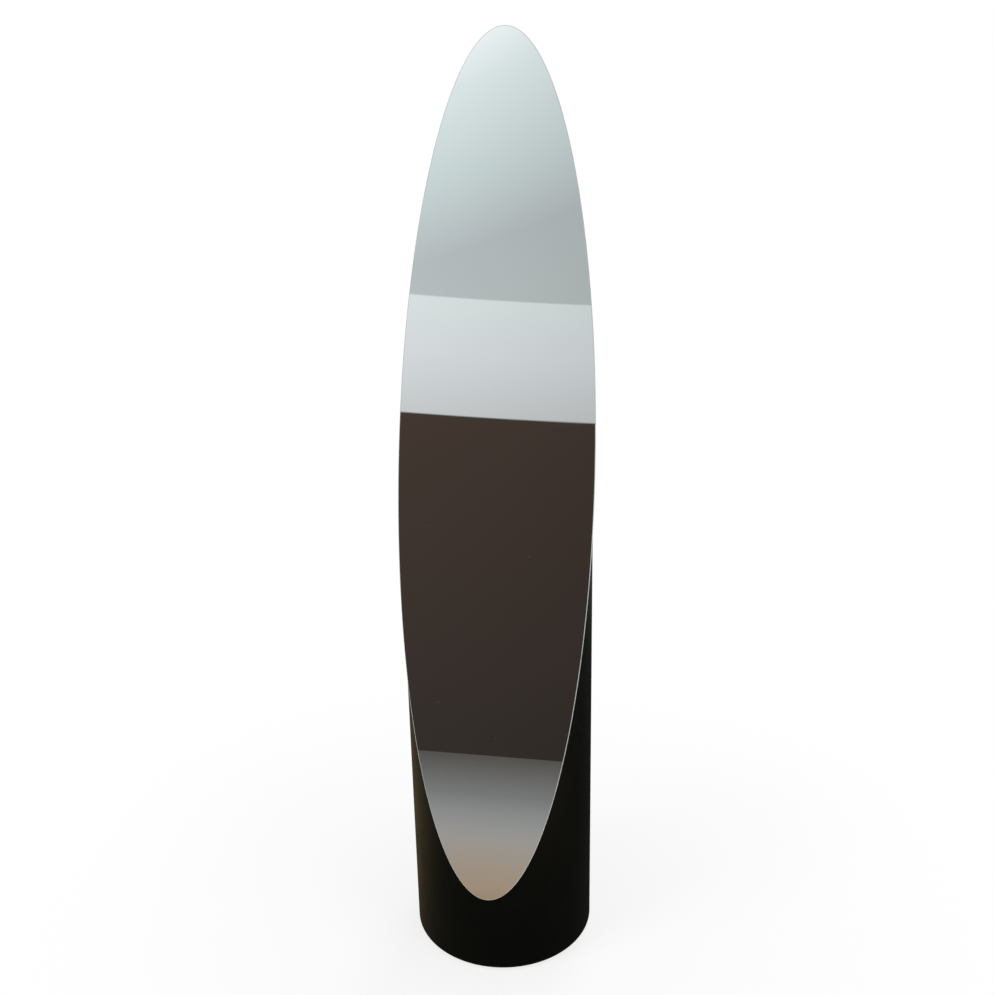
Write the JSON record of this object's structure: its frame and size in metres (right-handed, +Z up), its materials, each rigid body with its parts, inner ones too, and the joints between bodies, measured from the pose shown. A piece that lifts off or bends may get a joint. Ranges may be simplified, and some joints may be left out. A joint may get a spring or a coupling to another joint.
{
  "type": "rolling floor mirror",
  "caption": "Tall oval floor mirror: an upright black tube cut on a steep slant, its whole cut face covered by one oval mirror, standing on hidden castors",
  "frame": {"origin": "on the tube's axis, at the height of the floor that the wheels stand on", "axes": "+Z up along the tube, -Y out of the front that the mirror faces, +X to the right as seen from the front"},
  "size_m": [0.348, 0.3451, 1.6495],
  "materials": {
    "black_laminate": "semi-gloss black laminate, very slight orange peel",
    "mirror_silver": "silvered float glass, ground edge",
    "mastic": "cured mirror mastic, matt",
    "board_ply": "bare plywood",
    "birch_ply": "bare birch plywood",
    "softwood": "planed softwood",
    "chipboard": "raw chipboard",
    "concrete": "cast concrete",
    "zinc_steel": "bright zinc plating",
    "black_nylon": "moulded black nylon"
  },
  "bodies": {
    "root": {"tube_shell": "black_laminate", "seam_batten": "softwood", "mirror_glass": "mirror_silver", "mastic_dabs": "mastic", "backing_board": "board_ply", "board_cleats": "softwood", "board_screws": "zinc_steel", "lower_bulkhead": "birch_ply", "upper_bulkhead": "birch_ply", "bulkhead_blocks": "softwood", "base_disc": "chipboard", "base_cleats": "softwood", "base_screws": "zinc_steel", "ballast_weight": "concrete", "ballast_bolts": "zinc_steel", "ballast_washers": "zinc_steel", "ballast_nuts": "zinc_steel", "castor_screws": "zinc_steel", "castor_front_left_plate": "zinc_steel", "castor_front_left_kingpin": "zinc_steel", "castor_front_left_washer": "zinc_steel", "castor_front_right_plate": "zinc_steel", "castor_front_right_kingpin": "zinc_steel", "castor_front_right_washer": "zinc_steel", "castor_rear_left_plate": "zinc_steel", "castor_rear_left_kingpin": "zinc_steel", "castor_rear_left_washer": "zinc_steel", "castor_rear_right_plate": "zinc_steel", "castor_rear_right_kingpin": "zinc_steel", "castor_rear_right_washer": "zinc_steel"},
    "castor_front_left_swivel": {"castor_front_left_hood": "black_nylon", "castor_front_left_axle": "zinc_steel"},
    "castor_front_left_wheel_left": {"castor_front_left_wheel_left": "black_nylon"},
    "castor_front_left_wheel_right": {"castor_front_left_wheel_right": "black_nylon"},
    "castor_front_right_swivel": {"castor_front_right_hood": "black_nylon", "castor_front_right_axle": "zinc_steel"},
    "castor_front_right_wheel_left": {"castor_front_right_wheel_left": "black_nylon"},
    "castor_front_right_wheel_right": {"castor_front_right_wheel_right": "black_nylon"},
    "castor_rear_left_swivel": {"castor_rear_left_hood": "black_nylon", "castor_rear_left_axle": "zinc_steel"},
    "castor_rear_left_wheel_left": {"castor_rear_left_wheel_left": "black_nylon"},
    "castor_rear_left_wheel_right": {"castor_rear_left_wheel_right": "black_nylon"},
    "castor_rear_right_swivel": {"castor_rear_right_hood": "black_nylon", "castor_rear_right_axle": "zinc_steel"},
    "castor_rear_right_wheel_left": {"castor_rear_right_wheel_left": "black_nylon"},
    "castor_rear_right_wheel_right": {"castor_rear_right_wheel_right": "black_nylon"}
  },
  "joints": [
    {"name": "castor_front_left_swivel_turn", "type": "hinge", "parent": "root", "child": "castor_front_left_swivel", "pos_m": [-0.07843, -0.07843, 0.062], "axis": [0, 0, 1], "continuous": true},
    {"name": "castor_front_left_wheel_left_spin", "type": "hinge", "parent": "castor_front_left_swivel", "child": "castor_front_left_wheel_left", "pos_m": [-0.07843, -0.06243, 0.025], "axis": [1, 0, 0], "continuous": true},
    {"name": "castor_front_left_wheel_right_spin", "type": "hinge", "parent": "castor_front_left_swivel", "child": "castor_front_left_wheel_right", "pos_m": [-0.07843, -0.06243, 0.025], "axis": [1, 0, 0], "continuous": true},
    {"name": "castor_front_right_swivel_turn", "type": "hinge", "parent": "root", "child": "castor_front_right_swivel", "pos_m": [0.07843, -0.07843, 0.062], "axis": [0, 0, 1], "continuous": true},
    {"name": "castor_front_right_wheel_left_spin", "type": "hinge", "parent": "castor_front_right_swivel", "child": "castor_front_right_wheel_left", "pos_m": [0.07843, -0.06243, 0.025], "axis": [1, 0, 0], "continuous": true},
    {"name": "castor_front_right_wheel_right_spin", "type": "hinge", "parent": "castor_front_right_swivel", "child": "castor_front_right_wheel_right", "pos_m": [0.07843, -0.06243, 0.025], "axis": [1, 0, 0], "continuous": true},
    {"name": "castor_rear_left_swivel_turn", "type": "hinge", "parent": "root", "child": "castor_rear_left_swivel", "pos_m": [-0.07843, 0.07843, 0.062], "axis": [0, 0, 1], "continuous": true},
    {"name": "castor_rear_left_wheel_left_spin", "type": "hinge", "parent": "castor_rear_left_swivel", "child": "castor_rear_left_wheel_left", "pos_m": [-0.07843, 0.09443, 0.025], "axis": [1, 0, 0], "continuous": true},
    {"name": "castor_rear_left_wheel_right_spin", "type": "hinge", "parent": "castor_rear_left_swivel", "child": "castor_rear_left_wheel_right", "pos_m": [-0.07843, 0.09443, 0.025], "axis": [1, 0, 0], "continuous": true},
    {"name": "castor_rear_right_swivel_turn", "type": "hinge", "parent": "root", "child": "castor_rear_right_swivel", "pos_m": [0.07843, 0.07843, 0.062], "axis": [0, 0, 1], "continuous": true},
    {"name": "castor_rear_right_wheel_left_spin", "type": "hinge", "parent": "castor_rear_right_swivel", "child": "castor_rear_right_wheel_left", "pos_m": [0.07843, 0.09443, 0.025], "axis": [1, 0, 0], "continuous": true},
    {"name": "castor_rear_right_wheel_right_spin", "type": "hinge", "parent": "castor_rear_right_swivel", "child": "castor_rear_right_wheel_right", "pos_m": [0.07843, 0.09443, 0.025], "axis": [1, 0, 0], "continuous": true}
  ]
}
